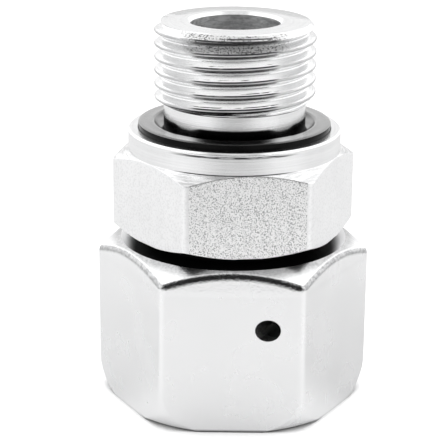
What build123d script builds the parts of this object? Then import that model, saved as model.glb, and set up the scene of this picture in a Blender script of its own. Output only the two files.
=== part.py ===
from build123d import *
from math import asin, atan2, cos, degrees, hypot, radians, sin, sqrt, tan
import os

os.makedirs("parts", exist_ok=True)

# Straight stud fitting with a swivel nut, standing on the nut's open end.
# Z is the flow axis, z = 0 is the nut's open end and the stud points up. One nut flat faces -Y.

# Lengths along the axis
nut_length = 18.7
nut_gap = 1.0
hexagon_length = 9.3
collar_length = 2.45
stud_length = 12.0
neck_length = 3.5
nose_recess = 2.0

# Stud, neck and flow bore
stud_radius = 9.0
stud_end_chamfer = 0.7
thread_run_out = 0.6
neck_depth = 1.05
flow_radius = 5.0
flow_edge_chamfer = 0.35

# Body hexagon, 24 mm across its flats, and the collar turned on it
body_turn = 7.6
body_corner_radius = 1.0
body_chamfer_angle = 30.0
body_foot_margin = 0.1
body_foot_angle = 28.0
collar_inset = 0.05
collar_edge_chamfer = 0.2

# Seal and its groove in the collar face
collar_rim = 1.1
seal_groove_width = 2.9
seal_groove_depth = 1.5
seal_clearance = 0.05
seal_crest_inset = 0.95
seal_crest_height = 0.45
seal_crest_round = 0.12
seal_edge_drop = 0.1
seal_edge_round = 0.3
seal_recess_depth = 0.5

# Shank, cone nose and O-ring inside the nut
shank_radius = 9.9
cone_half_angle = 12.0
cone_length = 6.5
cone_tip_wall = 2.1
cone_tip_chamfer = 0.5
ring_section = 2.0
ring_side_clearance = 0.25
ring_groove_wall = 1.2
ring_groove_tip_gap = 1.35
ring_seat_gap = 0.02

# Swivel nut, 27 mm across its flats over an M22 thread
thread_clearance = 0.29
nut_wall = 3.31
nut_corner_radius = 1.1
nut_top_inset = 0.65
nut_top_angle = 33.0
nut_top_round = 1.0
nut_foot_margin = 0.4
nut_foot_round = 6.0
running_clearance = 0.06
rear_bore_chamfer = 0.3
thread_depth = 7.8
mouth_chamfer = 0.9
relief_depth = 0.91
relief_length = 1.6

# Retaining wire and the hole it is fed through
wire_diameter = 2.0
wire_stand_off = 0.1
wire_below_top = 6.63
wire_clearance = 0.07
wire_arc = 325.0
wire_bend_radius = 1.6
wire_hook_length = 1.4
hook_end_clearance = 0.3
feed_diameter = 2.45
feed_offset = 3.87
tail_lead = 5.0

# Levels that follow from the lengths
hexagon_foot = nut_length + nut_gap
hexagon_top = hexagon_foot + hexagon_length
collar_face = hexagon_top + collar_length
stud_end = collar_face + stud_length
thread_foot = collar_face + neck_length
cone_top = nose_recess + cone_length
ring_groove_foot = nose_recess + ring_groove_tip_gap
relief_end = thread_depth + relief_length
wire_height = nut_length - wire_below_top

# Radii that follow from the pieces they belong to
neck_radius = stud_radius - neck_depth
seal_groove_radius = neck_radius + seal_groove_width
collar_radius = seal_groove_radius + collar_rim
body_apothem = collar_radius + collar_inset
body_foot_radius = body_apothem + body_foot_margin
seal_inner_radius = neck_radius + seal_clearance
seal_outer_radius = seal_groove_radius - seal_clearance
seal_crest_radius = neck_radius + seal_crest_inset
cone_tip_radius = flow_radius + cone_tip_wall
cone_top_radius = cone_tip_radius + cone_length * tan(radians(cone_half_angle))
ring_groove_radius = flow_radius + ring_groove_wall
ring_groove_width = ring_section + 2 * ring_side_clearance
ring_centre_radius = ring_groove_radius + ring_seat_gap + ring_section / 2
thread_minor_radius = shank_radius + thread_clearance
nut_apothem = thread_minor_radius + nut_wall
nut_top_radius = nut_apothem - nut_top_inset
nut_foot_radius = nut_apothem + nut_foot_margin
rear_bore_radius = shank_radius + running_clearance
relief_radius = thread_minor_radius + relief_depth
wire_circle_radius = shank_radius + wire_stand_off
wire_groove_section = wire_diameter / 2 + wire_clearance


def corner_reach(apothem, corner_radius):
    """Distance from the axis to a hexagon's rounded corner."""
    return (apothem - corner_radius) / cos(radians(30)) + corner_radius


def wire_hook(straight):
    """Bend and straight end of the wire, drawn from its ring towards the axis."""
    CenterArc(bend_centre, wire_bend_radius, hook_angle, 90)
    Line(bend_end, bend_end + hook_inward * straight)


# Feed hole: a horizontal drilling through the front flat, tangent to the wire's ring
feed_mouth = Vector(feed_offset, -nut_apothem, wire_height)
feed_lean = asin(wire_circle_radius / hypot(feed_offset, nut_apothem)) - atan2(feed_offset, nut_apothem)
feed_inward = Vector(sin(feed_lean), cos(feed_lean), 0)
feed_depth = sqrt(feed_offset**2 + nut_apothem**2 - wire_circle_radius**2)
feed_end = feed_mouth + feed_inward * feed_depth
feed_angle = degrees(atan2(feed_end.Y, feed_end.X))

# Wire: a ring that starts just past the feed hole and runs anticlockwise to its hook
wire_centre = Vector(0, 0, wire_height)
tail_angle = feed_angle + tail_lead
hook_angle = tail_angle + wire_arc
hook_outward = Vector(cos(radians(hook_angle)), sin(radians(hook_angle)), 0)
hook_inward = -hook_outward
hook_onward = Vector(-hook_outward.Y, hook_outward.X, 0)
bend_centre = wire_centre + hook_outward * (wire_circle_radius - wire_bend_radius)
bend_start = bend_centre + hook_outward * wire_bend_radius
bend_end = bend_centre + hook_onward * wire_bend_radius

# Body: the hexagon, cut back at both ends by turned chamfers
body_reach = corner_reach(body_apothem, body_corner_radius)
body_top_drop = (body_reach - collar_radius) * tan(radians(body_chamfer_angle))
body_foot_rise = (body_reach - body_foot_radius) * tan(radians(body_foot_angle))

with BuildPart() as stud_body:
    with BuildSketch(Plane.XY.offset(hexagon_foot)):
        RegularPolygon(body_apothem, 6, major_radius=False, rotation=body_turn)
    extrude(amount=hexagon_length)
    fillet(stud_body.edges().filter_by(Axis.Z), body_corner_radius)
    with BuildSketch(Plane.XZ):
        with BuildLine():
            Polyline(
                (0, hexagon_foot),
                (body_foot_radius, hexagon_foot),
                (body_reach, hexagon_foot + body_foot_rise),
                (body_reach, hexagon_top - body_top_drop),
                (collar_radius, hexagon_top),
                (0, hexagon_top),
                close=True,
            )
        make_face()
    revolve(axis=Axis.Z, mode=Mode.INTERSECT)

    # Collar, neck and stud above the hexagon
    with BuildSketch(Plane.XZ):
        with BuildLine():
            Polyline(
                (0, hexagon_top),
                (collar_radius, hexagon_top),
                (collar_radius, collar_face - collar_edge_chamfer),
                (collar_radius - collar_edge_chamfer, collar_face),
                (seal_groove_radius, collar_face),
                (seal_groove_radius, collar_face - seal_groove_depth),
                (neck_radius, collar_face - seal_groove_depth),
                (neck_radius, thread_foot - thread_run_out),
                (stud_radius, thread_foot),
                (stud_radius, stud_end - stud_end_chamfer),
                (stud_radius - stud_end_chamfer, stud_end),
                (0, stud_end),
                close=True,
            )
        make_face()
    revolve(axis=Axis.Z)

    # Shank and cone nose below the hexagon
    with BuildSketch(Plane.XZ):
        with BuildLine():
            Polyline(
                (0, hexagon_foot),
                (shank_radius, hexagon_foot),
                (shank_radius, cone_top + shank_radius - cone_top_radius),
                (cone_top_radius, cone_top),
                (cone_tip_radius, nose_recess),
                (0, nose_recess),
                close=True,
            )
        make_face()
    revolve(axis=Axis.Z)
    tip_edge = stud_body.edges().filter_by(GeomType.CIRCLE).sort_by(Axis.Z)[0]
    chamfer(tip_edge, cone_tip_chamfer)

    # Flow bore, opened by a small chamfer at each end
    with BuildSketch(Plane.XZ):
        with BuildLine():
            Polyline(
                (0, nose_recess),
                (flow_radius + flow_edge_chamfer, nose_recess),
                (flow_radius, nose_recess + flow_edge_chamfer),
                (flow_radius, stud_end - flow_edge_chamfer),
                (flow_radius + flow_edge_chamfer, stud_end),
                (0, stud_end),
                close=True,
            )
        make_face()
    revolve(axis=Axis.Z, mode=Mode.SUBTRACT)

    # Groove for the O-ring in the cone
    with BuildSketch(Plane.XZ):
        with Locations((ring_groove_radius, ring_groove_foot)):
            Rectangle(cone_top_radius - ring_groove_radius, ring_groove_width, align=Align.MIN)
    revolve(axis=Axis.Z, mode=Mode.SUBTRACT)

    # Inner half of the wire groove, with the pocket that takes the wire's hook
    with BuildSketch(Plane.XZ):
        with Locations((wire_circle_radius, wire_height)):
            Circle(wire_groove_section)
    revolve(axis=Axis.Z, mode=Mode.SUBTRACT)
    with BuildLine() as pocket_path:
        wire_hook(wire_hook_length + hook_end_clearance)
    with BuildSketch(Plane(bend_start, z_dir=hook_onward)):
        Circle(wire_groove_section)
    sweep(path=pocket_path.wire(), mode=Mode.SUBTRACT)

stud_body.part.label = "stud_body"
export_step(stud_body.part, "parts/stud_body.step")

# Profile seal in the groove of the collar: a crest beside the neck that falls away outwards
with BuildPart() as captive_seal:
    with BuildSketch(Plane.XZ) as seal_section:
        with BuildLine():
            Polyline(
                (seal_inner_radius, collar_face - seal_groove_depth),
                (seal_outer_radius, collar_face - seal_groove_depth),
                (seal_outer_radius, collar_face - seal_edge_drop),
                (seal_crest_radius, collar_face + seal_crest_height),
                (seal_inner_radius, collar_face - seal_recess_depth),
                close=True,
            )
        make_face()
        fillet(seal_section.vertices().sort_by(Axis.Y)[-1], seal_crest_round)
        outer_corners = seal_section.vertices().group_by(Axis.X)[-1]
        fillet(outer_corners.sort_by(Axis.Y)[-1], seal_edge_round)
    revolve(axis=Axis.Z)

captive_seal.part.label = "captive_seal"
export_step(captive_seal.part, "parts/captive_seal.step")

# O-ring seated on the floor of the cone's groove
with BuildPart() as cone_o_ring:
    with BuildSketch(Plane.XZ):
        with Locations((ring_centre_radius, ring_groove_foot + ring_groove_width / 2)):
            Circle(ring_section / 2)
    revolve(axis=Axis.Z)

cone_o_ring.part.label = "cone_o_ring"
export_step(cone_o_ring.part, "parts/cone_o_ring.step")

# Retaining wire: the ring and the hook in one bent length
with BuildPart() as retaining_wire:
    with BuildLine() as wire_path:
        CenterArc(wire_centre, wire_circle_radius, tail_angle, wire_arc)
        wire_hook(wire_hook_length)
    with BuildSketch(Plane(wire_path.wire() @ 0, z_dir=wire_path.wire() % 0)):
        Circle(wire_diameter / 2)
    sweep(path=wire_path.wire())

retaining_wire.part.label = "retaining_wire"
export_step(retaining_wire.part, "parts/retaining_wire.step")

# Nut: a forged hexagon with a turned top chamfer and a well rounded open end
nut_reach = corner_reach(nut_apothem, nut_corner_radius)
nut_top_drop = (nut_reach - nut_top_radius) * tan(radians(nut_top_angle))
nut_foot_centre = nut_reach - nut_foot_round
nut_foot_rise = sqrt(nut_foot_round**2 - (nut_foot_radius - nut_foot_centre) ** 2)

with BuildPart() as swivel_nut:
    with BuildSketch(Plane.XY):
        RegularPolygon(nut_apothem, 6, major_radius=False)
    extrude(amount=nut_length)
    fillet(swivel_nut.edges().filter_by(Axis.Z), nut_corner_radius)
    with BuildSketch(Plane.XZ):
        with BuildLine():
            RadiusArc((nut_reach, nut_foot_rise), (nut_foot_radius, 0), nut_foot_round)
            Polyline(
                (nut_foot_radius, 0),
                (0, 0),
                (0, nut_length),
                (nut_top_radius, nut_length),
                (nut_reach, nut_length - nut_top_drop),
                (nut_reach, nut_foot_rise),
            )
        make_face()
    revolve(axis=Axis.Z, mode=Mode.INTERSECT)
    top_creases = swivel_nut.edges().filter_by_position(
        Axis.Z, nut_length - nut_top_drop, nut_length, inclusive=(True, False)
    )
    fillet(top_creases, nut_top_round)

    # Threaded mouth at the thread's minor diameter, thread relief and rear bore
    with BuildSketch(Plane.XZ):
        with BuildLine():
            Polyline(
                (0, 0),
                (thread_minor_radius + mouth_chamfer, 0),
                (thread_minor_radius, mouth_chamfer),
                (thread_minor_radius, thread_depth),
                (relief_radius, thread_depth + relief_radius - thread_minor_radius),
                (relief_radius, relief_end),
                (rear_bore_radius, relief_end + relief_radius - rear_bore_radius),
                (rear_bore_radius, nut_length - rear_bore_chamfer),
                (rear_bore_radius + rear_bore_chamfer, nut_length),
                (0, nut_length),
                close=True,
            )
        make_face()
    revolve(axis=Axis.Z, mode=Mode.SUBTRACT)

    # Outer half of the wire groove and the feed hole that runs into it
    with BuildSketch(Plane.XZ):
        with Locations((wire_circle_radius, wire_height)):
            Circle(wire_groove_section)
    revolve(axis=Axis.Z, mode=Mode.SUBTRACT)
    with BuildSketch(Plane(feed_end, z_dir=-feed_inward)):
        Circle(feed_diameter / 2)
    extrude(amount=2 * feed_depth, mode=Mode.SUBTRACT)

swivel_nut.part.label = "swivel_nut"
export_step(swivel_nut.part, "parts/swivel_nut.step")
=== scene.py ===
import bmesh
import bpy
from math import cos, pi, radians, sin, tan
from mathutils import Matrix, Vector
from mathutils.kdtree import KDTree


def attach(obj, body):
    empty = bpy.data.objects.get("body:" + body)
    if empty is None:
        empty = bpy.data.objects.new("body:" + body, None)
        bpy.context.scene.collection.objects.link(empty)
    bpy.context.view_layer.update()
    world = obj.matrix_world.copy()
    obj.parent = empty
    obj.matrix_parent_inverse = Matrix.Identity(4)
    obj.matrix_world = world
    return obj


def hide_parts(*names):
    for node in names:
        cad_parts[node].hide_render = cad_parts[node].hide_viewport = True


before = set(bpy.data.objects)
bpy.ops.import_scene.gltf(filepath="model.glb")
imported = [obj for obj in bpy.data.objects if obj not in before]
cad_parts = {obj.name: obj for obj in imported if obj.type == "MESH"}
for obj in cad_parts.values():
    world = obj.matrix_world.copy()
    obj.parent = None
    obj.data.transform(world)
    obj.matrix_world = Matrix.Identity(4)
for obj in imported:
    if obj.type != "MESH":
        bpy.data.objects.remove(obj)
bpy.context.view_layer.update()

MM = 0.001
BODY = "fitting_body"
NUT = "nut"

# Sizes in millimetres. Stud thread M18x1.5 and nut thread M22x1.5, both right hand
PITCH = 1.5
THREAD_STEPS = 144
STUD_CREST = 9.0
STUD_ROOT = 8.08
STUD_FRONT_CREST = 35.32
STUD_FOOT = 34.35
STUD_END = 43.45
STUD_END_RADIUS = 8.3
NECK_RADIUS = 7.95
RUN_OUT_SLOPE = 1.75
NUT_CREST = 10.19
NUT_ROOT = 11.0
MOUTH_RADIUS = 11.09
RELIEF_RADIUS = 11.1
RELIEF_START = 8.71
# Rounding of a thread's crest and root: how far up the profile and how deep
CREST_HALF = 0.13
CREST_ROUNDING = ((0, 0), (0.35, 0), (0.65, 0.008), (0.88, 0.026), (1.08, 0.055), (1.28, 0.1))
ROOT_ROUNDING = (0.035, 0.012)
FLANK_STEPS = 8
# Width of the rings that join a thread to the plain walls beside it
STUD_SEAM = 0.04
MOUTH_SEAM = 0.03
# Corners of the seal's section: radius and height
SEAL_OUTLINE = (
    (8.0, 29.96), (10.8, 29.96), (10.8, 31.95), (10.78, 32.05), (10.7, 32.12), (10.58, 32.15),
    (10.2, 32.14), (9.8, 32.14), (9.45, 32.16), (9.25, 32.18), (9.12, 32.17), (9.03, 32.12),
    (8.95, 32.03), (8.75, 31.8), (8.5, 31.6), (8.25, 31.45), (8.0, 31.35),
)
# O-ring: radius of its section, how far the mould line stands out, and the middle of the section
RING_SECTION = 0.985
MOULD_LINE = 1.012
RING_PLACE = (0, -7.22, 4.6)

# How near a corner has to be to the CAD's to take its normal, in metres, and the sharpest smooth edge
SAME_PLACE = 4e-6
SMOOTH_BELOW = radians(28)

# Where the faces lie that have a finish of their own
BORE_REACH = 5.02
BODY_FLATS = (19.7, 29.0)
FEED_HOLE_X = 3.87
FEED_HOLE_Z = 12.07
HEXAGON_TURN = radians(7.6)

# The camera, fitted to the photograph: lens and shift in pixels, distances in millimetres
PHOTO_WIDTH = 444
FOCAL_LENGTH = 1698.656
SIDE_SHIFT = -11.418
CAMERA_TILT = radians(17.828)
CAMERA_ROLL = radians(0.632)
CAMERA_DISTANCE = 194.34
AIM_HEIGHT = 20.087

# Heights, radii and distances aside, in millimetres, between which each finish, painted shade and painted
# highlight sets in and ends
THREAD_HEIGHT = (34.2, 34.6)
THREAD_DEPTH = (8.2, 8.25)
CREST_FLAT = (8.92, 8.96)
# Painted shade beside the thread crests: where it sets in above and below them, where its dashes lie, and
# how far aside from the front it reaches
SHADE_ABOVE_CREST = (8.85, 8.88)
SHADE_BELOW_CREST = (8.3, 8.5)
SHADE_DASHES = (8.62, 8.65, 8.73, 8.77)
SHADE_FRONT = (4.0, 5.0)
# Reach aside of the painted highlight on the thread's flanks
FLANK_HIGHLIGHT_FRONT = (3.5, 6.5)
# First turn of the stud's thread, with its burrs and painted dark reflection
FIRST_TURN = (41.3, 41.6, 43.3, 43.4)
FIRST_TURN_DEPTH = (7.8, 8.1)
FIRST_TURN_FRONT = (4.5, 6.5)
HEXAGON_CHAMFER = (26.5, 26.8, 28.95, 29.05)
# Heights of the painted shade along the hexagon flats' upper edge
EDGE_SHADE_HEIGHTS = (26.8, 27.4)
# Painted shade lines round the collar: its upper edge, its foot, the wall's radius and the reach aside
COLLAR_EDGE = (30.82, 30.89, 31.06, 31.12)
COLLAR_FOOT = (28.96, 28.99, 29.05, 29.12)
COLLAR_WALL = (11.6, 11.8)
COLLAR_FRONT = (4.5, 7.5)
NECK_WALL = (7.6, 7.8, 8.1, 8.3)
# Painted black foot of the neck: its upper edge, and where that edge dips
NECK_SHADE = (32.74, 32.98)
NECK_DIP = (3.6, 5.0, 5.7, 6.6)
# Nut: where its crease starts, the painted shade on its chamfer, and its painted contact shadow at the
# foot
NUT_CREASE = (15.8, 16.6)
NUT_CHAMFER = (13.1, 14.5)
NUT_SOLE = (0.08, 0.4)
NUT_SOLE_FRONT = (8.5, 10.8)
# Reach aside of the painted shade at the seal's front
SEAL_FRONT = (3.8, 5.2)
# Distances aside over which the painted gap shade fades to pale
GAP_ENDS = (10.8, 12.4)

# The studio: brightness of the soft boxes over the walls, tangent of the unlit front's half angle,
# half the table's side and the reach of its contact shadow in metres, and the table's tones
BOX_GAIN = 0.5
FRONT_SPREAD = 1.54
TABLE_HALF = 1.5
SHADOW_REACH = 0.003
TABLE_WHITE = (0.98, 0.98, 0.98)
TABLE_DIM = (0.3, 0.3, 0.3)
TABLE_UNLIT = (0.4, 0.4, 0.4)
TABLE_SHADOW = (0.05, 0.05, 0.05)


# Mesh helpers: pieces are shaped in millimetres and brought to metres when they are finished

def resized(bm, factor):
    bmesh.ops.scale(bm, vec=(factor, factor, factor), verts=bm.verts)


def cad_normals(node):
    """The CAD's own corner normals, found by the corner's place."""
    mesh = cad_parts[node].data
    places = KDTree(len(mesh.loops))
    kept = []
    for face in mesh.polygons:
        for loop in face.loop_indices:
            places.insert(mesh.vertices[mesh.loops[loop].vertex_index].co, len(kept))
            kept.append((face.normal.copy(), mesh.corner_normals[loop].vector.copy()))
    places.balance()
    return places, kept


def carry_normals(mesh, places, kept):
    """Gives the faces that came from the CAD the normals that they had there."""
    wanted = []
    for face in mesh.polygons:
        for loop in face.loop_indices:
            near = places.find_range(mesh.vertices[mesh.loops[loop].vertex_index].co, SAME_PLACE)
            choices = [kept[found[1]] for found in near]
            best = max(choices, key=lambda choice: choice[0].dot(face.normal), default=None)
            if best and best[0].dot(face.normal) > 0.98:
                wanted.append(best[1])
            else:
                wanted.append((0, 0, 0))
    mesh.normals_split_custom_set(wanted)


def finished(bm, name, body, like=None):
    """Turns a bmesh into a piece that rides on a body, shaded smooth between its edges."""
    resized(bm, MM)
    mesh = bpy.data.meshes.new(name)
    bm.to_mesh(mesh)
    bm.free()
    for face in mesh.polygons:
        face.use_smooth = True
    mesh.set_sharp_from_angle(angle=SMOOTH_BELOW)
    if like:
        carry_normals(mesh, *cad_normals(like))
    piece = bpy.data.objects.new(name, mesh)
    bpy.context.scene.collection.objects.link(piece)
    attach(piece, body)
    return piece


def merged_copy(node):
    """A node's mesh with its loose triangles joined."""
    bm = bmesh.new()
    bm.from_mesh(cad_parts[node].data)
    resized(bm, 1 / MM)
    bmesh.ops.remove_doubles(bm, verts=bm.verts, dist=1e-3)
    return bm


def around(co):
    """Distance of a point from the flow axis."""
    return (co.x**2 + co.y**2) ** 0.5


def rim(bm, height, near=None):
    """Open edges at one height, and near one radius if that is given."""
    found = []
    for edge in bm.edges:
        if not edge.is_boundary:
            continue
        if any(abs(v.co.z - height) > 0.002 for v in edge.verts):
            continue
        if near is not None and any(abs(around(v.co) - near) > 0.4 for v in edge.verts):
            continue
        found.append(edge)
    return found


def thread_ribbon(bm, crest, root, front_crest, turns):
    """A helical thread surface: one pitch of profile swept up and round the axis, then repeated."""
    inward = 1 if crest > root else -1
    flank = abs(crest - root) * tan(radians(30))
    steps = [(CREST_HALF * share, crest - inward * lift) for share, lift in CREST_ROUNDING]
    for part in range(1, FLANK_STEPS + 1):
        share = 0.11 + 0.8 * part / FLANK_STEPS
        steps.append((CREST_HALF + flank * share, crest + (root - crest) * share))
    steps.append((PITCH / 2 - ROOT_ROUNDING[0], root + inward * ROOT_ROUNDING[1]))
    steps.append((PITCH / 2, root))
    profile = [(-up, radius) for up, radius in reversed(steps)] + steps[1:]
    verts = [bm.verts.new((0, -radius, front_crest - 2 * PITCH + up)) for up, radius in profile]
    edges = [bm.edges.new(pair) for pair in zip(verts, verts[1:])]
    bmesh.ops.spin(
        bm, geom=verts + edges, cent=(0, 0, 0), axis=(0, 0, 1), dvec=(0, 0, PITCH / THREAD_STEPS),
        angle=2 * pi, steps=THREAD_STEPS, use_merge=False, use_duplicate=False,
    )
    turn = bm.verts[:] + bm.edges[:] + bm.faces[:]
    for count in range(1, turns):
        copy = bmesh.ops.duplicate(bm, geom=turn)["geom"]
        fresh = [item for item in copy if isinstance(item, bmesh.types.BMVert)]
        bmesh.ops.translate(bm, vec=(0, 0, count * PITCH), verts=fresh)
    bmesh.ops.remove_doubles(bm, verts=bm.verts, dist=1e-3)


def trim(bm, height, keep_above):
    """Cuts an open surface off at a height."""
    side = -1 if keep_above else 1
    bmesh.ops.bisect_plane(
        bm, geom=bm.verts[:] + bm.edges[:] + bm.faces[:], dist=1e-5,
        plane_co=(0, 0, height), plane_no=(0, 0, side), clear_outer=True,
    )


def limit_radius(bm, largest=None, smallest=None):
    """Turns a surface down, or bores it out, to a radius that depends on the height."""
    for vert in bm.verts:
        radius = around(vert.co)
        wanted = radius
        if largest:
            wanted = min(wanted, largest(vert.co.z))
        if smallest:
            wanted = max(wanted, smallest(vert.co.z))
        vert.co.x *= wanted / radius
        vert.co.y *= wanted / radius


def joined(bm, other):
    """Adds another bmesh to this one."""
    mesh = bpy.data.meshes.new("part_for_joining")
    other.to_mesh(mesh)
    other.free()
    bm.from_mesh(mesh)
    bpy.data.meshes.remove(mesh)


def close_ring(bm, edges, facing=1):
    """Fills the ring between two open rims."""
    bmesh.ops.triangle_fill(bm, use_beauty=True, edges=edges, normal=(0, 0, facing))


# Fitting body with its cut thread

def stud_envelope(height):
    """Radius that the thread is cut within: run-out at the foot, chamfer at the end."""
    foot = NECK_RADIUS + (height - STUD_FOOT) * RUN_OUT_SLOPE
    end = STUD_END_RADIUS + (STUD_END - height)
    return max(NECK_RADIUS, min(foot, end, STUD_CREST))


def threaded_body():
    bm = merged_copy("stud_body")
    cut = STUD_FOOT + 0.02
    bmesh.ops.bisect_plane(
        bm, geom=bm.verts[:] + bm.edges[:] + bm.faces[:], dist=1e-5,
        plane_co=(0, 0, cut), plane_no=(0, 0, 1),
    )
    plain = [
        face for face in bm.faces
        if min(v.co.z for v in face.verts) > cut - 1e-3
        and max(around(v.co) for v in face.verts) > 5.6
    ]
    bmesh.ops.delete(bm, geom=plain, context="FACES")
    thread = bmesh.new()
    thread_ribbon(thread, STUD_CREST, STUD_ROOT, STUD_FRONT_CREST, 10)
    trim(thread, cut + STUD_SEAM, True)
    trim(thread, STUD_END, False)
    limit_radius(thread, largest=stud_envelope)
    joined(bm, thread)
    close_ring(bm, rim(bm, cut) + rim(bm, cut + STUD_SEAM))
    close_ring(bm, rim(bm, STUD_END))
    bmesh.ops.recalc_face_normals(bm, faces=bm.faces)
    piece = finished(bm, "threaded_stud_body", BODY, like="stud_body")
    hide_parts("stud_body")
    return piece


def nut_envelope(height):
    """Smallest radius inside the nut's mouth: countersink at the open end, relief above."""
    mouth = MOUTH_RADIUS - height
    relief = RELIEF_RADIUS - (RELIEF_START - height)
    return max(mouth, relief, NUT_CREST)


def threaded_nut():
    bm = merged_copy("swivel_nut")
    plain = [
        face for face in bm.faces
        if max(around(v.co) for v in face.verts) < RELIEF_RADIUS + 0.01
        and max(v.co.z for v in face.verts) < RELIEF_START + 0.01
    ]
    bmesh.ops.delete(bm, geom=plain, context="FACES")
    thread = bmesh.new()
    thread_ribbon(thread, NUT_CREST, NUT_ROOT, 0.0, 9)
    trim(thread, MOUTH_SEAM, True)
    trim(thread, RELIEF_START - MOUTH_SEAM, False)
    limit_radius(thread, smallest=nut_envelope)
    joined(bm, thread)
    close_ring(bm, rim(bm, 0.0) + rim(bm, MOUTH_SEAM))
    relief_rim = rim(bm, RELIEF_START, near=RELIEF_RADIUS)
    close_ring(bm, relief_rim + rim(bm, RELIEF_START - MOUTH_SEAM))
    bmesh.ops.recalc_face_normals(bm, faces=bm.faces)
    piece = finished(bm, "threaded_swivel_nut", NUT, like="swivel_nut")
    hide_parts("swivel_nut")
    return piece


# Rubber rings

def spun_ring(bm, turns=160):
    """Sweeps everything in the bmesh once round the flow axis."""
    bmesh.ops.spin(
        bm, geom=bm.verts[:] + bm.edges[:], cent=(0, 0, 0), axis=(0, 0, 1), dvec=(0, 0, 0),
        angle=2 * pi, steps=turns, use_merge=True, use_duplicate=False,
    )
    bmesh.ops.remove_doubles(bm, verts=bm.verts, dist=1e-4)
    bmesh.ops.recalc_face_normals(bm, faces=bm.faces)


def moulded_seal():
    """Profile ring that stands proud of the collar, with a slope down to the neck inside its crest."""
    bm = bmesh.new()
    corners = [bm.verts.new((0, -radius, height)) for radius, height in SEAL_OUTLINE]
    for first, second in zip(corners, corners[1:] + corners[:1]):
        bm.edges.new((first, second))
    spun_ring(bm)
    piece = finished(bm, "moulded_seal", BODY)
    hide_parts("captive_seal")
    return piece


def moulded_o_ring():
    """O-ring in the cone, with the fine line that its mould leaves inside and outside."""
    bm = bmesh.new()
    section = bmesh.ops.create_circle(bm, cap_ends=False, radius=RING_SECTION, segments=32)["verts"]
    for vert in section:
        if abs(vert.co.y) < 1e-4:
            vert.co.x *= MOULD_LINE
    bmesh.ops.rotate(bm, cent=(0, 0, 0), matrix=Matrix.Rotation(pi / 2, 3, "X"), verts=section)
    bmesh.ops.rotate(bm, cent=(0, 0, 0), matrix=Matrix.Rotation(-pi / 2, 3, "Z"), verts=section)
    bmesh.ops.translate(bm, vec=RING_PLACE, verts=section)
    spun_ring(bm)
    piece = finished(bm, "moulded_o_ring", BODY)
    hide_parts("cone_o_ring")
    return piece


# Node helpers

def node(tree, kind, **values):
    made = tree.nodes.new(kind)
    for name, value in values.items():
        setattr(made, name, value)
    return made


def feed(tree, target, source):
    """Links a socket to another, or sets it to a plain value."""
    if isinstance(source, bpy.types.NodeSocket):
        tree.links.new(source, target)
    else:
        target.default_value = source


def maths(tree, operation, *values):
    made = node(tree, "ShaderNodeMath", operation=operation)
    for place, value in enumerate(values):
        feed(tree, made.inputs[place], value)
    return made.outputs[0]


def times(tree, first, *others):
    """The product of all the values."""
    for value in others:
        first = maths(tree, "MULTIPLY", first, value)
    return first


def either(tree, first, *others):
    """The largest of the values."""
    for value in others:
        first = maths(tree, "MAXIMUM", first, value)
    return first


def ramp(tree, value, low, high, start=0.0, end=1.0, smooth=True):
    """Maps low..high to start..end."""
    made = node(tree, "ShaderNodeMapRange", interpolation_type="SMOOTHSTEP" if smooth else "LINEAR")
    labels = ("Value", "From Min", "From Max", "To Min", "To Max")
    for label, source in zip(labels, (value, low, high, start, end)):
        feed(tree, made.inputs[label], source)
    return made.outputs["Result"]


def band(tree, value, start, full, fall, end):
    """Rises from start to full and falls from fall to end."""
    return times(tree, ramp(tree, value, start, full), ramp(tree, value, fall, end, 1.0, 0.0))


def noise(tree, place, scale, detail=2.0, roughness=0.5):
    made = node(tree, "ShaderNodeTexNoise")
    labels = ("Vector", "Scale", "Detail", "Roughness")
    for label, source in zip(labels, (place, scale, detail, roughness)):
        feed(tree, made.inputs[label], source)
    return made.outputs["Fac"]


def object_place(tree):
    return node(tree, "ShaderNodeTexCoord").outputs["Object"]


def stretched(tree, place, factors):
    made = node(tree, "ShaderNodeMapping")
    feed(tree, made.inputs["Vector"], place)
    made.inputs["Scale"].default_value = factors
    return made.outputs[0]


def separated(tree, vector):
    """The x, y and z of a vector."""
    made = node(tree, "ShaderNodeSeparateXYZ")
    feed(tree, made.inputs[0], vector)
    return made.outputs[0], made.outputs[1], made.outputs[2]


def combined(tree, *values):
    made = node(tree, "ShaderNodeCombineXYZ")
    for place, value in enumerate(values):
        feed(tree, made.inputs[place], value)
    return made.outputs[0]


def ray(tree, kind):
    """1 for one kind of ray, 0 for all others."""
    return node(tree, "ShaderNodeLightPath").outputs[f"Is {kind} Ray"]


def place_mm(tree):
    """The x, y and z of the shaded point, in millimetres."""
    scaled = node(tree, "ShaderNodeVectorMath", operation="SCALE")
    feed(tree, scaled.inputs[0], object_place(tree))
    scaled.inputs["Scale"].default_value = 1 / MM
    return separated(tree, scaled.outputs[0])


class Spot:
    """The shaded point: its place in millimetres, and how far its surface faces up."""

    def __init__(self, tree):
        self.x, self.y, self.height = place_mm(tree)
        self.aside = maths(tree, "ABSOLUTE", self.x)
        square = maths(tree, "MULTIPLY_ADD", self.y, self.y, times(tree, self.x, self.x))
        self.radius = maths(tree, "SQRT", square)
        self.facing = separated(tree, node(tree, "ShaderNodeNewGeometry").outputs["Normal"])[2]


def pale(tone):
    """A light grey with the faint blue of zinc."""
    return tone, tone + 0.002, tone + 0.006


def dark(tone):
    """A dark grey, nearly neutral."""
    return tone, tone, tone * 1.02


WHITE = (1.0, 1.0, 1.0)


def mixed(tree, share, first, second):
    """A colour between two, by a share from 0 to 1."""
    made = node(tree, "ShaderNodeMix", data_type="RGBA")
    feed(tree, made.inputs[0], share)
    for place, colour in ((6, first), (7, second)):
        feed(tree, made.inputs[place], (*colour, 1) if isinstance(colour, tuple) else colour)
    return made.outputs[2]


def bumped(tree, height, depth, normal=None):
    """A normal roughened by a height that spans the given depth in metres."""
    made = node(tree, "ShaderNodeBump")
    made.inputs["Strength"].default_value = 1.0
    made.inputs["Distance"].default_value = depth
    feed(tree, made.inputs["Height"], height)
    if normal:
        feed(tree, made.inputs["Normal"], normal)
    return made.outputs[0]


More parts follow.
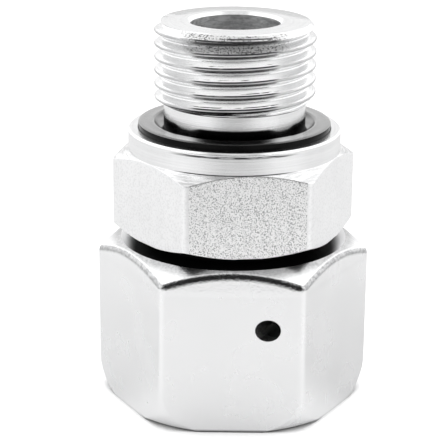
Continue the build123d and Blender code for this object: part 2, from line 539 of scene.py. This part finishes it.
def group(name, inputs, **outputs):
    """An empty node group with named number inputs and named outputs of the given kinds."""
    tree = bpy.data.node_groups.new(name, "ShaderNodeTree")
    for label, value in inputs.items():
        socket = tree.interface.new_socket(label, in_out="INPUT", socket_type="NodeSocketFloat")
        socket.default_value = value
    for label, kind in outputs.items():
        tree.interface.new_socket(label, in_out="OUTPUT", socket_type=f"NodeSocket{kind}")
    return tree, node(tree, "NodeGroupInput").outputs, node(tree, "NodeGroupOutput").inputs


def placed(tree, made_group, **values):
    """A group in a material, with its own values."""
    made = node(tree, "ShaderNodeGroup", node_tree=made_group)
    for name, value in values.items():
        feed(tree, made.inputs[name], value)
    return made.outputs


# Finishes that several materials share

def turning_lines():
    """Fine rings left by the lathe, on walls and on end faces alike."""
    tree, given, wanted = group("turning_lines", {"Lines": 9000.0, "Waviness": 60.0}, Height="Float")
    x, y, z = separated(tree, object_place(tree))
    out = node(tree, "ShaderNodeVectorMath", operation="LENGTH")
    feed(tree, out.inputs[0], combined(tree, x, y))
    along = maths(tree, "MULTIPLY_ADD", out.outputs["Value"], 0.83, z)
    waves = given["Waviness"]
    dense = times(tree, along, given["Lines"])
    lines = combined(tree, times(tree, x, waves), times(tree, y, waves), dense)
    feed(tree, wanted["Height"], noise(tree, lines, 1.0, 3.0, 0.65))
    return tree


def grain():
    """Small pits and grains of a blasted and plated surface."""
    inputs = {"Grains": 5200.0, "Pits": 0.5}
    tree, given, wanted = group("grain", inputs, Height="Float", Pitting="Float")
    place = object_place(tree)
    fine = noise(tree, place, given["Grains"], 1.5, 0.55)
    coarse = noise(tree, place, times(tree, given["Grains"], 0.37), 2.0, 0.5)
    feed(tree, wanted["Height"], maths(tree, "MULTIPLY_ADD", coarse, 0.6, fine))
    edge = maths(tree, "MULTIPLY_ADD", given["Pits"], -0.2, 0.5)
    feed(tree, wanted["Pitting"], ramp(tree, fine, maths(tree, "SUBTRACT", edge, 0.1), edge, 1.0, 0.0))
    return tree


def soft_edges():
    """Rounds sharp edges by a hair and tells where they are."""
    tree, given, wanted = group("soft_edges", {"Width": 0.00008}, Normal="Vector", Edge="Float")
    rounded = node(tree, "ShaderNodeBevel", samples=6)
    feed(tree, rounded.inputs["Radius"], given["Width"])
    feed(tree, wanted["Normal"], rounded.outputs[0])
    same = node(tree, "ShaderNodeVectorMath", operation="DOT_PRODUCT")
    feed(tree, same.inputs[0], rounded.outputs[0])
    feed(tree, same.inputs[1], node(tree, "ShaderNodeNewGeometry").outputs["Normal"])
    feed(tree, wanted["Edge"], ramp(tree, same.outputs["Value"], 0.995, 0.93))
    return tree


def clouding():
    """Slow changes of tone that a plating bath leaves, with faint streaks along the axis."""
    tree, given, wanted = group("clouding", {"Size": 220.0, "Streaks": 0.5}, Tone="Float")
    place = object_place(tree)
    cloud = noise(tree, place, given["Size"], 3.0, 0.55)
    along = stretched(tree, place, (1, 1, 0.12))
    streak = noise(tree, along, times(tree, given["Size"], 7.0), 2.0, 0.6)
    both = node(tree, "ShaderNodeMix", data_type="FLOAT")
    for place, value in ((0, given["Streaks"]), (2, cloud), (3, streak)):
        feed(tree, both.inputs[place], value)
    feed(tree, wanted["Tone"], both.outputs[0])
    return tree


TURNING = turning_lines()
GRAIN = grain()
EDGES = soft_edges()
CLOUDS = clouding()


# Materials

def material(name, metallic=1.0):
    made = bpy.data.materials.new(name)
    made.use_nodes = True
    shader = made.node_tree.nodes["Principled BSDF"].inputs
    shader["Metallic"].default_value = metallic
    return made, made.node_tree, shader


def thread_finish(tree, spot, marks, zinc):
    """Flanks whitened at the front and back as a painted highlight, crests made darker, and painted shade
    seen by the camera only: dark lines beside the crests and dark dashes above.
    """
    deep = ramp(tree, spot.radius, *THREAD_DEPTH)
    on_thread = times(tree, ramp(tree, spot.height, *THREAD_HEIGHT), deep)
    # Painted highlight: the flanks turn whiter near the front and back.
    flank_highlight = times(tree, on_thread, ramp(tree, spot.aside, *FLANK_HIGHLIGHT_FRONT, 0.9, 0.0))
    zinc = mixed(tree, flank_highlight, zinc, WHITE)
    crest = times(tree, on_thread, ramp(tree, spot.radius, *CREST_FLAT))
    # The crests are made darker all round.
    crest_darkening = times(tree, crest, ramp(tree, marks, 0.3, 0.7, 0.3, 1.0))
    zinc = mixed(tree, crest_darkening, zinc, pale(0.42))
    # Painted shade and painted dark reflection beside the crests and in dashes on the upper flanks, for
    # camera rays only and strongest at the front and back.
    upward = ramp(tree, spot.facing, 0.2, 0.35)
    downward = ramp(tree, spot.facing, -0.35, -0.2, 1.0, 0.0)
    above = times(tree, upward, ramp(tree, spot.radius, *SHADE_ABOVE_CREST))
    below = times(tree, downward, ramp(tree, spot.radius, *SHADE_BELOW_CREST))
    dashes = times(tree, upward, band(tree, spot.radius, *SHADE_DASHES), ramp(tree, marks, 0.5, 0.56))
    front = ramp(tree, spot.aside, *SHADE_FRONT, 1.0, 0.12)
    thread_shade = times(tree, either(tree, above, below, dashes), ramp(tree, marks, 0.25, 0.45, 0.6, 1.0))
    thread_shade = times(tree, thread_shade, on_thread, front, ray(tree, "Camera"))
    return mixed(tree, thread_shade, zinc, dark(0.05)), crest


def chamfer_streaks(tree, spot, marks, zinc):
    """Streaks on the chamfer of the body's hexagon."""
    chamfer = times(tree, ramp(tree, spot.facing, 0.6, 0.8), band(tree, spot.height, *HEXAGON_CHAMFER))
    streaks = times(tree, chamfer, ramp(tree, marks, 0.4, 0.6, 0.0, 0.55))
    return mixed(tree, streaks, zinc, pale(0.45))


def ragged_and_shaded_turn(tree, spot, zinc):
    """Burrs on the stud's turned chamfer and on the first turn of its thread, with painted dark
    reflection that is strongest near the front and back.
    """
    ragged = times(
        tree, band(tree, spot.height, *FIRST_TURN), ramp(tree, spot.radius, *FIRST_TURN_DEPTH),
        ramp(tree, spot.aside, *FIRST_TURN_FRONT, 1.0, 0.15),
    )
    pitting = placed(tree, GRAIN, Grains=5200.0, Pits=0.1)["Pitting"]
    # Burrs together with painted dark reflection.
    burrs_and_shade = times(tree, ragged, maths(tree, "MULTIPLY_ADD", pitting, 0.75, 0.25))
    return mixed(tree, burrs_and_shade, zinc, dark(0.12)), ragged


def collar_shade_lines(tree, spot, marks, zinc):
    """Painted shade: a dark, uneven line round the collar's upper edge, and one round its foot, both only
    near the front and back.
    """
    upper = times(tree, band(tree, spot.height, *COLLAR_EDGE), ramp(tree, marks, 0.42, 0.5, 0.1, 1.0))
    collar_shade = times(
        tree, either(tree, upper, band(tree, spot.height, *COLLAR_FOOT)),
        ramp(tree, spot.radius, *COLLAR_WALL), ramp(tree, spot.aside, *COLLAR_FRONT, 1.0, 0.0),
    )
    return mixed(tree, collar_shade, zinc, dark(0.04))


def shaded_neck_foot(tree, spot, zinc):
    """Painted shade: a black foot of the neck, standing in for the shade and dark reflection there. Its
    upper edge dips on both sides.
    """
    dip = band(tree, spot.aside, *NECK_DIP)
    neck_shade = ramp(tree, maths(tree, "MULTIPLY_ADD", dip, 0.36, spot.height), *NECK_SHADE, 1.0, 0.0)
    thinner = maths(tree, "MULTIPLY_ADD", dip, -0.15, 1.0)
    neck_shade = times(tree, neck_shade, band(tree, spot.radius, *NECK_WALL), thinner)
    return mixed(tree, neck_shade, zinc, dark(0.012))


def turned_zinc():
    """Bright zinc on turned surfaces: stud, neck, collar and chamfers."""
    made, tree, shader = material("turned_zinc")
    spot = Spot(tree)
    edge = placed(tree, EDGES, Width=0.00007)
    lines = placed(tree, TURNING, Lines=9000.0, Waviness=60.0)["Height"]
    marks = placed(tree, TURNING, Lines=14000.0, Waviness=420.0)["Height"]
    cloud = placed(tree, CLOUDS, Size=260.0, Streaks=0.2)["Tone"]
    zinc = mixed(tree, ramp(tree, cloud, 0.3, 0.7), pale(0.86), pale(0.92))
    zinc = mixed(tree, ramp(tree, lines, 0.35, 0.65, 0.25, 0.0), zinc, pale(0.5))
    zinc, crest = thread_finish(tree, spot, marks, zinc)
    zinc = chamfer_streaks(tree, spot, marks, zinc)
    zinc, ragged = ragged_and_shaded_turn(tree, spot, zinc)
    zinc = collar_shade_lines(tree, spot, marks, zinc)
    feed(tree, shader["Base Color"], shaded_neck_foot(tree, spot, zinc))
    dimmed = times(tree, either(tree, crest, ragged), 0.2)
    feed(tree, shader["Roughness"], maths(tree, "ADD", ramp(tree, lines, 0.3, 0.7, 0.14, 0.26), dimmed))
    feed(tree, shader["Normal"], bumped(tree, lines, 0.000009, edge["Normal"]))
    return made


def bore_zinc():
    """Thin, mottled zinc in the bore, over coarse marks of the drill."""
    made, tree, shader = material("bore_zinc")
    lines = placed(tree, TURNING, Lines=5000.0, Waviness=300.0)["Height"]
    blotches = noise(tree, stretched(tree, object_place(tree), (1, 1, 3)), 900.0, 4.0, 0.7)
    feed(tree, shader["Base Color"], mixed(tree, ramp(tree, blotches, 0.35, 0.65), pale(0.6), pale(0.97)))
    feed(tree, shader["Roughness"], ramp(tree, lines, 0.3, 0.7, 0.3, 0.5))
    feed(tree, shader["Normal"], bumped(tree, lines, 0.00002))
    return made


def speckled_zinc():
    """Zinc over the hexagon's blasted flats, front and back, with painted shade along their upper edge.
    """
    made, tree, shader = material("speckled_zinc")
    edge = placed(tree, EDGES, Width=0.00009)
    border = placed(tree, EDGES, Width=0.0003)
    grains = placed(tree, GRAIN, Grains=8200.0, Pits=0.05)
    zinc = mixed(tree, ramp(tree, grains["Height"], 0.6, 1.0), pale(0.97), WHITE)
    zinc = mixed(tree, grains["Pitting"], zinc, pale(0.38))
    # Painted shade along the upper edge, broken up by grain.
    edge_shade = times(tree, border["Edge"], ramp(tree, place_mm(tree)[2], *EDGE_SHADE_HEIGHTS))
    edge_shade = times(tree, edge_shade, ramp(tree, grains["Height"], 0.7, 0.9, 0.75, 1.0))
    feed(tree, shader["Base Color"], mixed(tree, edge_shade, zinc, dark(0.03)))
    shader["Roughness"].default_value = 0.3
    feed(tree, shader["Normal"], bumped(tree, grains["Height"], 0.00002, edge["Normal"]))
    return made


def satin_zinc():
    """Zinc over the hexagon's other flats and its rounded corners: fine grained and nearly even."""
    made, tree, shader = material("satin_zinc")
    edge = placed(tree, EDGES, Width=0.00009)
    grains = placed(tree, GRAIN, Grains=4300.0, Pits=0.0)
    cloud = placed(tree, CLOUDS, Size=200.0, Streaks=0.3)["Tone"]
    zinc = mixed(tree, ramp(tree, cloud, 0.3, 0.7), pale(0.9), pale(0.95))
    feed(tree, shader["Base Color"], mixed(tree, times(tree, grains["Pitting"], 0.25), zinc, pale(0.6)))
    shader["Roughness"].default_value = 0.28
    feed(tree, shader["Normal"], bumped(tree, grains["Height"], 0.00001, edge["Normal"]))
    return made


def nut_zinc():
    """Zinc over the drawn hexagon of the nut: faintly clouded flats under a grainy crease, with painted
    shade in the crease and on the chamfer beside the gap, and a painted contact shadow round the foot,
    strongest at the front and back.
    """
    made, tree, shader = material("nut_zinc")
    spot = Spot(tree)
    edge = placed(tree, EDGES, Width=0.00008)
    cloud = placed(tree, CLOUDS, Size=180.0, Streaks=0.15)["Tone"]
    grains = placed(tree, GRAIN, Grains=3200.0, Pits=0.5)["Height"]
    zinc = mixed(tree, ramp(tree, cloud, 0.2, 0.8, smooth=False), pale(0.88), pale(0.95))
    rough = ramp(tree, spot.height, *NUT_CREASE)
    # Painted shade in the rounded crease, broken up by grain.
    crease_shade = times(tree, band(tree, spot.facing, 0.06, 0.25, 0.6, 0.8), rough)
    crease_shade = times(tree, crease_shade, ramp(tree, grains, 0.6, 1.0, 0.65, 1.0))
    zinc = mixed(tree, crease_shade, zinc, pale(0.36))
    # Painted shade on the top chamfer, darkest next to the gap.
    chamfer = times(tree, ramp(tree, spot.facing, 0.7, 0.82), ramp(tree, grains, 0.6, 1.0, 0.75, 0.95))
    chamfer = times(tree, chamfer, ramp(tree, spot.radius, *NUT_CHAMFER, 1.0, 0.05))
    zinc = mixed(tree, chamfer, zinc, pale(0.36))
    # Painted contact shadow along the foot.
    sole_shadow = ramp(tree, spot.height, *NUT_SOLE, 0.9, 0.0)
    sole_shadow = times(tree, sole_shadow, ramp(tree, spot.aside, *NUT_SOLE_FRONT, 1.0, 0.15))
    feed(tree, shader["Base Color"], mixed(tree, sole_shadow, zinc, dark(0.05)))
    feed(tree, shader["Roughness"], ramp(tree, cloud, 0.2, 0.8, 0.22, 0.3))
    coarse = times(tree, rough, ramp(tree, spot.facing, 0.7, 0.82, 1.0, 0.3))
    height = maths(tree, "MULTIPLY_ADD", coarse, grains, times(tree, cloud, 0.02))
    feed(tree, shader["Normal"], bumped(tree, height, 0.00004, edge["Normal"]))
    return made


def black_rubber(name, roughness):
    """Moulded rubber: glossy where it lies level, duller on its walls. As painted shade, its sheen is
    turned down at the front and mostly left out of what other surfaces mirror.
    """
    made, tree, shader = material(name, 0.0)
    spot = Spot(tree)
    haze = placed(tree, CLOUDS, Size=400.0, Streaks=0.0)["Tone"]
    feed(tree, shader["Base Color"], mixed(tree, ramp(tree, haze, 0.35, 0.75), dark(0.002), dark(0.006)))
    # Painted shade: the sheen is mostly left out of reflections, and less of it shows at the front.
    seen = ramp(tree, ray(tree, "Glossy"), 0.0, 1.0, 1.0, 0.15)
    dimmed = times(tree, ramp(tree, spot.y, -6.8, -7.8), ramp(tree, spot.aside, *SEAL_FRONT, 0.75, 0.0))
    gloss = times(tree, ramp(tree, spot.facing, 0.45, 0.95), seen, maths(tree, "SUBTRACT", 1.0, dimmed))
    feed(tree, shader["Coat Weight"], gloss)
    shader["Coat IOR"].default_value = 1.9
    shader["Coat Roughness"].default_value = roughness
    feed(tree, shader["Specular IOR Level"], ramp(tree, gloss, 0.0, 1.0, 0.08, 0.6, smooth=False))
    feed(tree, shader["Roughness"], ramp(tree, haze, 0.3, 0.7, roughness, roughness + 0.08))
    return made


def recess_shade_zinc():
    """Painted shade: dull, near-black zinc where nut and body face each other across the gap, and in the
    wire's feed hole, turning pale toward the gap's open ends.
    """
    made, tree, shader = material("recess_shade_zinc", 0.8)
    cloud = placed(tree, CLOUDS, Size=300.0, Streaks=0.0)["Tone"]
    open_side = ramp(tree, maths(tree, "ABSOLUTE", place_mm(tree)[0]), *GAP_ENDS)
    # Painted shade: near black.
    dimmed = mixed(tree, cloud, dark(0.004), dark(0.014))
    feed(tree, shader["Base Color"], mixed(tree, open_side, dimmed, pale(0.93)))
    shader["Specular IOR Level"].default_value = 0.1
    shader["Roughness"].default_value = 0.45
    return made


def drawn_wire():
    """Drawn spring steel with fine lines along its length."""
    made, tree, shader = material("drawn_wire")
    cloud = placed(tree, CLOUDS, Size=900.0, Streaks=0.5)["Tone"]
    feed(tree, shader["Base Color"], mixed(tree, cloud, pale(0.4), pale(0.62)))
    shader["Roughness"].default_value = 0.35
    return made


# Which face has which finish

def on_body_flats(face):
    """Whether a face belongs to the hexagon's flats and rounded corners."""
    height = face.center.z / MM
    upright = abs(face.normal.z) < 0.05
    return upright and BODY_FLATS[0] < height < BODY_FLATS[1] and around(face.center) / MM > 11.9


def on_blasted_flats(face):
    """Whether a face is one of the two flats, front and back, that were blasted."""
    square_on = face.normal.x * sin(HEXAGON_TURN) - face.normal.y * cos(HEXAGON_TURN)
    return on_body_flats(face) and abs(square_on) > 0.999


def in_gap(face):
    """Whether a face of the body lies in the gap above the nut."""
    height = face.center.z / MM
    level = height < 19.72 or face.normal.z < -0.5 and height < 20.6
    return level and height > 14 and around(face.center) / MM > 9.7


def body_finish(face):
    if on_blasted_flats(face):
        return "speckled"
    if on_body_flats(face):
        return "satin"
    if in_gap(face):
        return "sheltered"
    return "bore" if around(face.center) / MM < BORE_REACH else "turned"


def in_feed_hole(face):
    """Whether a face of the nut is the wall of the wire's feed hole."""
    x, y, z = face.center / MM
    across_flat = y < -9.5 and abs(face.normal.y) < 0.05
    return across_flat and (x - FEED_HOLE_X) ** 2 + (z - FEED_HOLE_Z) ** 2 < 1.6


def nut_finish(face):
    height = face.center.z / MM
    inside = around(face.center) / MM < 11.6
    on_top = face.normal.z > 0.99 and height > 18.6
    if on_top or in_feed_hole(face) or inside and height > 14:
        return "sheltered"
    return "turned" if inside else "nut"


def finish_faces(piece, finishes, choice):
    """Gives a piece its materials, and each face the one that choice names for it."""
    piece.data.materials.clear()
    for finish in finishes.values():
        piece.data.materials.append(finish)
    order = list(finishes)
    for face in piece.data.polygons:
        face.material_index = order.index(choice(face))


def dress():
    body = threaded_body()
    nut = threaded_nut()
    seal = moulded_seal()
    o_ring = moulded_o_ring()
    turned = turned_zinc()
    sheltered = recess_shade_zinc()
    finishes = {
        "turned": turned, "satin": satin_zinc(), "sheltered": sheltered,
        "speckled": speckled_zinc(), "bore": bore_zinc(),
    }
    finish_faces(body, finishes, body_finish)
    finish_faces(nut, {"nut": nut_zinc(), "turned": turned, "sheltered": sheltered}, nut_finish)
    seal.data.materials.append(black_rubber("seal_black_rubber", 0.16))
    o_ring.data.materials.append(black_rubber("ring_black_rubber", 0.3))
    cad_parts["retaining_wire"].material_slots[0].material = drawn_wire()


# Floor, light and camera

def reflected_table(tree, spot, glossy):
    """The table's tone. Reflections find it dimmer beside and behind the part, and in the unlit front."""
    ahead = ramp(tree, spot.y, -50.0, -200.0)
    unlit = times(tree, glossy, ahead, ramp(tree, spot.aside, 50.0, 110.0, 1.0, 0.0))
    bearing = maths(tree, "DIVIDE", spot.y, either(tree, spot.radius, 1.0))
    behind = times(tree, ramp(tree, bearing, -0.6, -0.05), ramp(tree, spot.radius, 30.0, 70.0, 1.0, 0.55))
    behind = times(tree, behind, ramp(tree, spot.x, -10.0, 10.0, 0.27, 0.36))
    before = times(tree, ramp(tree, bearing, -0.97, -0.75, 1.0, 0.0), 0.08)
    tone = mixed(tree, times(tree, either(tree, behind, before), glossy), TABLE_WHITE, TABLE_DIM)
    return mixed(tree, unlit, tone, TABLE_UNLIT), unlit


def pale_floor():
    """A white table with a tight shadow."""
    bm = bmesh.new()
    bmesh.ops.create_grid(bm, x_segments=1, y_segments=1, size=TABLE_HALF)
    mesh = bpy.data.meshes.new("floor")
    bm.to_mesh(mesh)
    bm.free()
    floor = bpy.data.objects.new("floor", mesh)
    bpy.context.scene.collection.objects.link(floor)
    made, tree, shader = material("pale_table", 0.0)
    path = node(tree, "ShaderNodeLightPath").outputs
    glossy = path["Is Glossy Ray"]
    camera_ray = path["Is Camera Ray"]
    tone, unlit = reflected_table(tree, Spot(tree), glossy)
    open_sky = node(tree, "ShaderNodeAmbientOcclusion", samples=8)
    open_sky.inputs["Distance"].default_value = SHADOW_REACH
    touching = times(tree, camera_ray, ramp(tree, open_sky.outputs["AO"], 0.3, 0.5, 0.45, 0.0))
    feed(tree, shader["Base Color"], mixed(tree, touching, tone, TABLE_SHADOW))
    shader["Roughness"].default_value = 0.6
    shader["Specular IOR Level"].default_value = 0.1
    shader["Emission Color"].default_value = (1, 1, 1, 1)
    lift = times(tree, camera_ray, ramp(tree, open_sky.outputs["AO"], 0.36, 0.7, 0.0, 0.35))
    mirrored = times(tree, glossy, maths(tree, "MULTIPLY_ADD", unlit, -0.06, 0.06))
    feed(tree, shader["Emission Strength"], maths(tree, "ADD", lift, mirrored))
    mesh.materials.append(made)


def studio_world():
    """White all round. Reflections also see the unlit front of the room and the soft boxes beside it."""
    world = bpy.data.worlds.new("studio")
    bpy.context.scene.world = world
    world.use_nodes = True
    tree = world.node_tree
    x, y, z = separated(tree, node(tree, "ShaderNodeTexCoord").outputs["Generated"])
    aside = maths(tree, "ABSOLUTE", x)
    front = maths(tree, "SUBTRACT", times(tree, y, -FRONT_SPREAD), aside)
    unlit = times(tree, ramp(tree, front, 0.0, 0.12), band(tree, z, 0.03, 0.1, 0.925, 0.96))
    boxes = times(tree, ramp(tree, aside, 0.28, 0.4), ramp(tree, z, 0.04, 0.12))
    walls = maths(tree, "MULTIPLY_ADD", x, -0.03, 1.0)
    lit = maths(tree, "MULTIPLY_ADD", boxes, BOX_GAIN, walls)
    room = times(tree, lit, maths(tree, "MULTIPLY_ADD", unlit, -0.996, 1.0))
    pick = node(tree, "ShaderNodeMix", data_type="FLOAT")
    for place, value in ((0, ray(tree, "Glossy")), (2, 1.0), (3, room)):
        feed(tree, pick.inputs[place], value)
    feed(tree, tree.nodes["Background"].inputs["Strength"], pick.outputs[0])
    tree.nodes["Background"].inputs["Color"].default_value = (1, 1, 1, 1)


def camera():
    data = bpy.data.cameras.new("camera")
    data.sensor_width = 36
    data.lens = 36 * FOCAL_LENGTH / PHOTO_WIDTH
    data.shift_x = SIDE_SHIFT / PHOTO_WIDTH
    data.clip_start = 0.01
    view = bpy.data.objects.new("camera", data)
    bpy.context.scene.collection.objects.link(view)
    back = Vector((0, -cos(CAMERA_TILT), sin(CAMERA_TILT)))
    place = back * CAMERA_DISTANCE * MM + Vector((0, 0, AIM_HEIGHT * MM))
    turn = Matrix.Rotation(pi / 2 - CAMERA_TILT, 4, "X") @ Matrix.Rotation(CAMERA_ROLL, 4, "Z")
    view.matrix_world = Matrix.Translation(place) @ turn
    bpy.context.scene.camera = view


dress()
pale_floor()
studio_world()
camera()
bpy.context.scene.view_settings.view_transform = "Standard"
